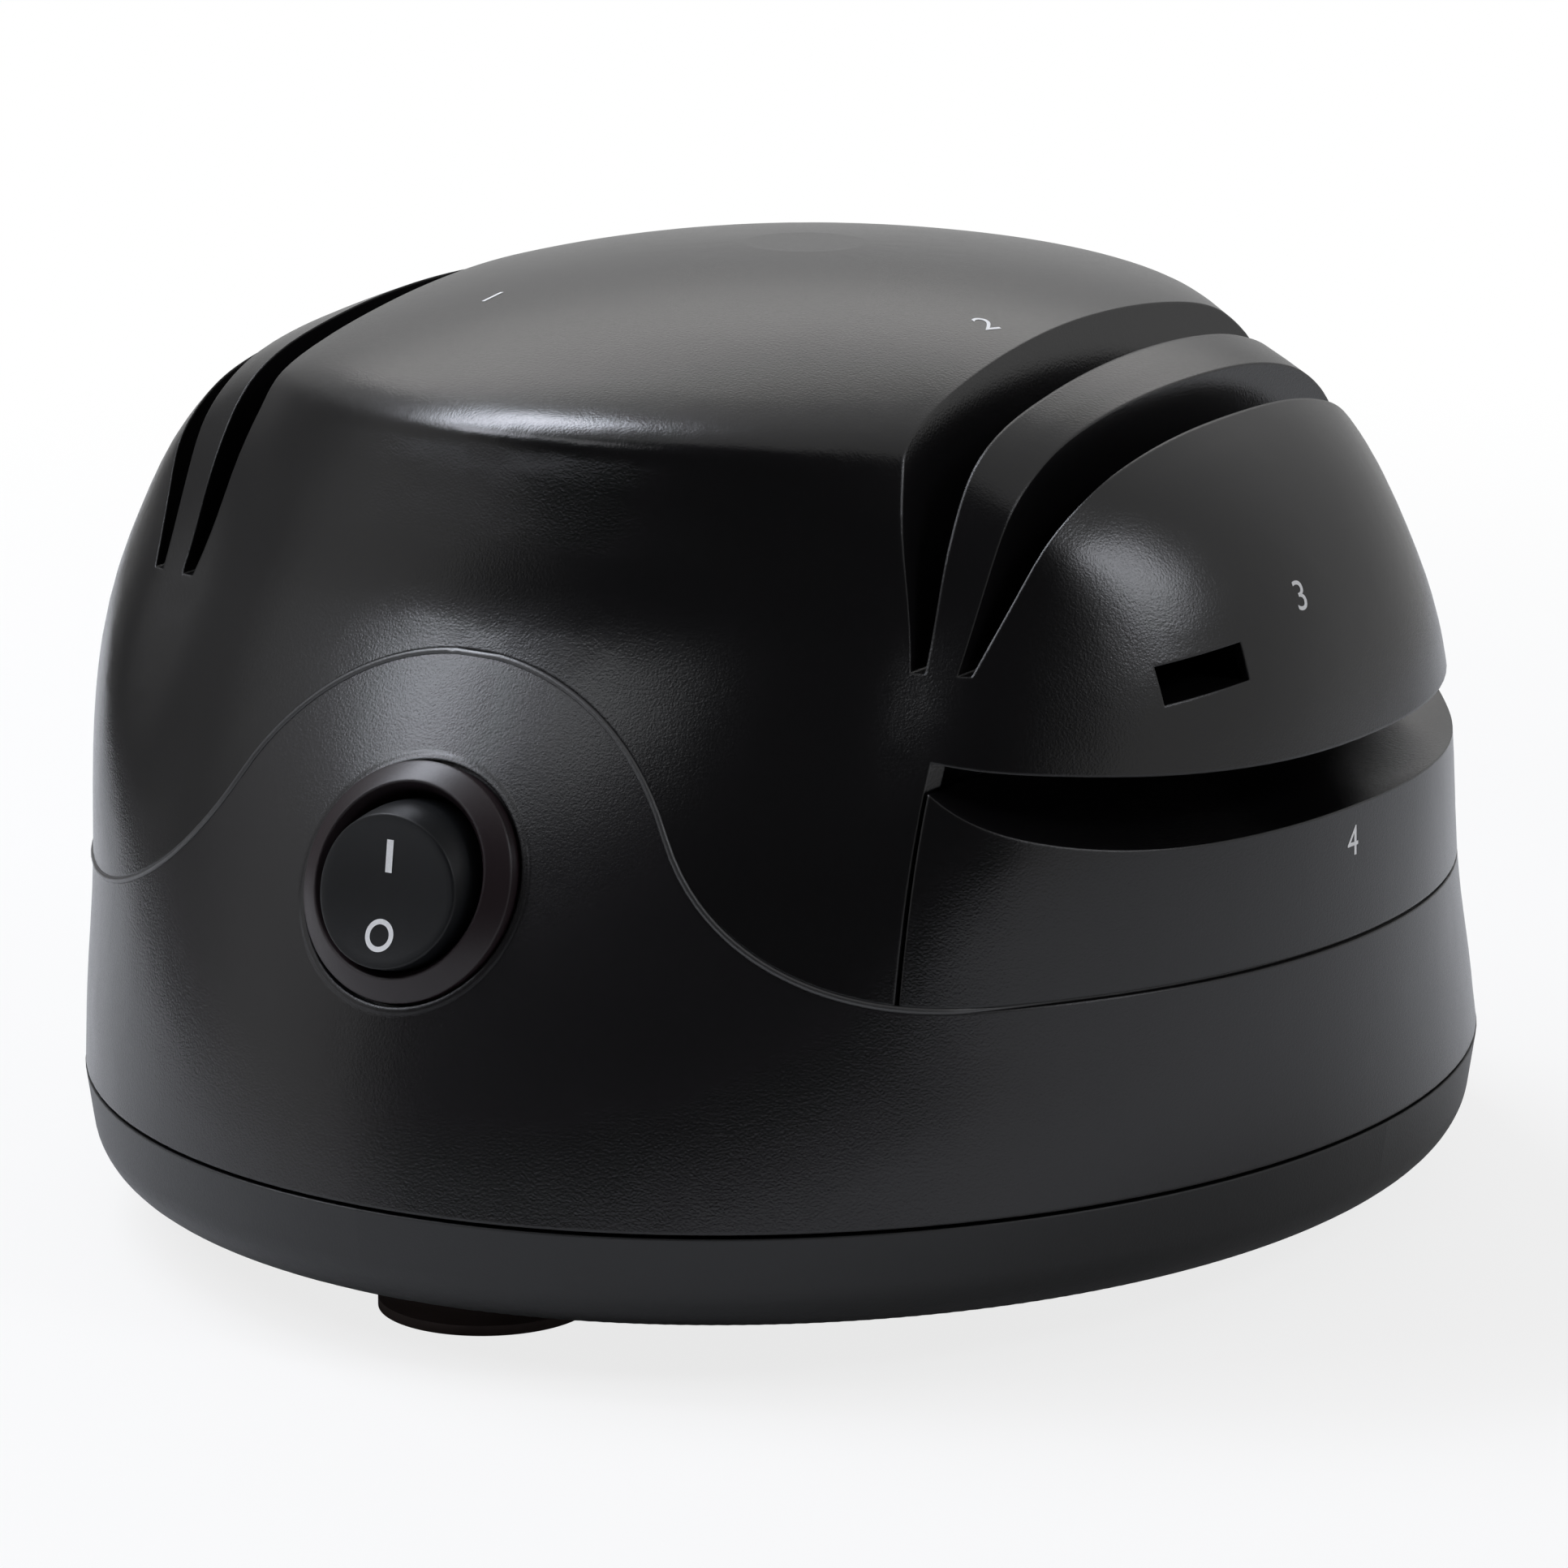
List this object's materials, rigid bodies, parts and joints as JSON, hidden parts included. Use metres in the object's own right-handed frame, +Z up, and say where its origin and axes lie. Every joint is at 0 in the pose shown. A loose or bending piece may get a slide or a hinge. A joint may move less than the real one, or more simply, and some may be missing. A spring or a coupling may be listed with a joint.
{
  "type": "electric knife sharpener",
  "caption": "Dome-shaped bench sharpener with paired V slots for knives over grinding wheels, a scissors rest, a screwdriver slot, a round rocker switch and suction feet.",
  "frame": {"origin": "on the table, under the middle of the body's widest ellipse", "axes": "+X to the user's right, -Y to the user, where the switch is, +Z up"},
  "size_m": [0.1374, 0.1526, 0.0951],
  "materials": {
    "cover_plastic": "fine spark-erosion grain, satin black",
    "housing_plastic": "fine grain, satin black",
    "switch_plastic": "satin brown-black",
    "rocker_plastic": "satin dark grey with white marks",
    "rubber": "matt dark rubber",
    "brass": "plain",
    "steel": "zinc plated",
    "laminate_steel": "stacked laminations",
    "copper": null,
    "ferrite": null,
    "carbon": null,
    "alloy": "die cast",
    "bronze": "sintered bronze",
    "abrasive": null,
    "cradle_plastic": "moulded, dark grey",
    "board": "glass-filled laminate",
    "component_black": "moulded case"
  },
  "bodies": {
    "housing": {"upper_cover": "cover_plastic", "scissors_guide": "cover_plastic", "lower_housing": "housing_plastic", "bottom_cover": "housing_plastic", "switch_body": "switch_plastic", "suction_foot_front": "rubber", "suction_foot_rear_left": "rubber", "suction_foot_rear_right": "rubber", "cord_gland": "rubber", "motor_ring_left": "rubber", "motor_ring_right": "rubber", "switch_terminals": "brass", "brush_holders": "brass", "motor_can": "steel", "motor_strap_left": "steel", "motor_strap_right": "steel", "case_screws": "steel", "cradle_screws": "steel", "strap_screws": "steel", "board_screws": "steel", "motor_magnets": "ferrite", "brushes": "carbon", "motor_cap_left": "alloy", "motor_cap_right": "alloy", "bearing_left": "bronze", "bearing_right": "bronze", "motor_cradle": "cradle_plastic", "control_board": "board", "rectifier_block": "component_black"},
    "rotor": {"motor_shaft": "steel", "armature_core": "laminate_steel", "armature_winding": "copper", "commutator": "brass", "wheel_hub_left": "alloy", "wheel_hub_right": "alloy", "grinding_wheel_left": "abrasive", "grinding_wheel_right": "abrasive", "wheel_washer_left": "steel", "wheel_washer_right": "steel", "wheel_nut_left": "steel", "wheel_nut_right": "steel"},
    "rocker": {"switch_rocker": "rocker_plastic"}
  },
  "joints": [
    {"name": "rotor_spin", "type": "hinge", "parent": "housing", "child": "rotor", "pos_m": [0, -0.002, 0.045], "axis": [1, 0, 0], "continuous": true},
    {"name": "rocker_tilt", "type": "hinge", "parent": "housing", "child": "rocker", "pos_m": [0, -0.06544, 0.04376], "axis": [-1, 0, 0], "range_deg": [0, 18]}
  ]
}
